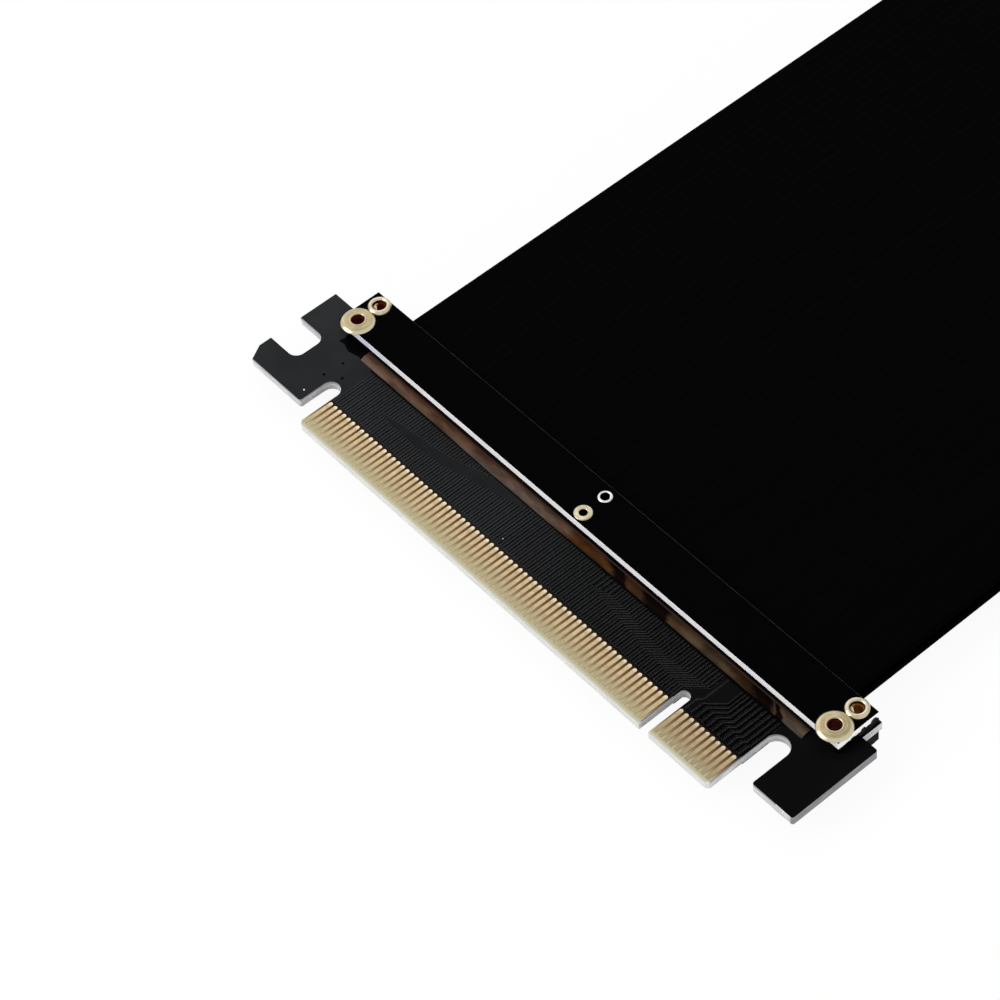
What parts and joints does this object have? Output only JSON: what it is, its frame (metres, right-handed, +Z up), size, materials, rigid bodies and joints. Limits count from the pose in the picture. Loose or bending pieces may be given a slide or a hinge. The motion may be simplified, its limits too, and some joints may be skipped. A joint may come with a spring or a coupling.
{
  "type": "pcie extension cable",
  "caption": "Black ribbon extension cable for an expansion slot, with a gold card-edge plug, brass eyelets and an upright slot at its far end.",
  "frame": {"origin": "on the table, under the middle of the part's box", "axes": "+Y from the plug's mating edge towards the socket board, +X along the contact row towards the short row, +Z up out of the slot"},
  "size_m": [0.1108, 0.2488, 0.0155],
  "materials": {
    "board_mask": "satin",
    "plate_mask": "satin",
    "contact_gold": "polished",
    "eyelet_brass": "polished",
    "wire_copper": "satin",
    "tape_amber": "gloss",
    "filler_black": "matte",
    "ribbon_black": "matte",
    "housing_black": "matte",
    "spring_gold": "satin"
  },
  "bodies": {
    "root": {"plug_board": "board_mask", "socket_board": "board_mask", "plug_upper_contacts": "contact_gold", "plug_lower_contacts": "contact_gold", "plug_upper_plate": "plate_mask", "plug_lower_plate": "plate_mask", "socket_upper_plate": "plate_mask", "socket_lower_plate": "plate_mask", "plug_upper_fillers": "filler_black", "plug_lower_fillers": "filler_black", "socket_upper_fillers": "filler_black", "socket_lower_fillers": "filler_black", "plug_upper_wire_ends": "wire_copper", "plug_lower_wire_ends": "wire_copper", "socket_upper_wire_ends": "wire_copper", "socket_lower_wire_ends": "wire_copper", "plug_upper_tape": "tape_amber", "plug_lower_tape": "tape_amber", "socket_upper_tape": "tape_amber", "socket_lower_tape": "tape_amber", "plug_large_eyelets": "eyelet_brass", "plug_small_eyelets": "eyelet_brass", "upper_ribbon": "ribbon_black", "lower_ribbon": "ribbon_black", "slot_housing": "housing_black", "slot_back_contacts": "spring_gold", "slot_front_contacts": "spring_gold"}
  },
  "joints": []
}
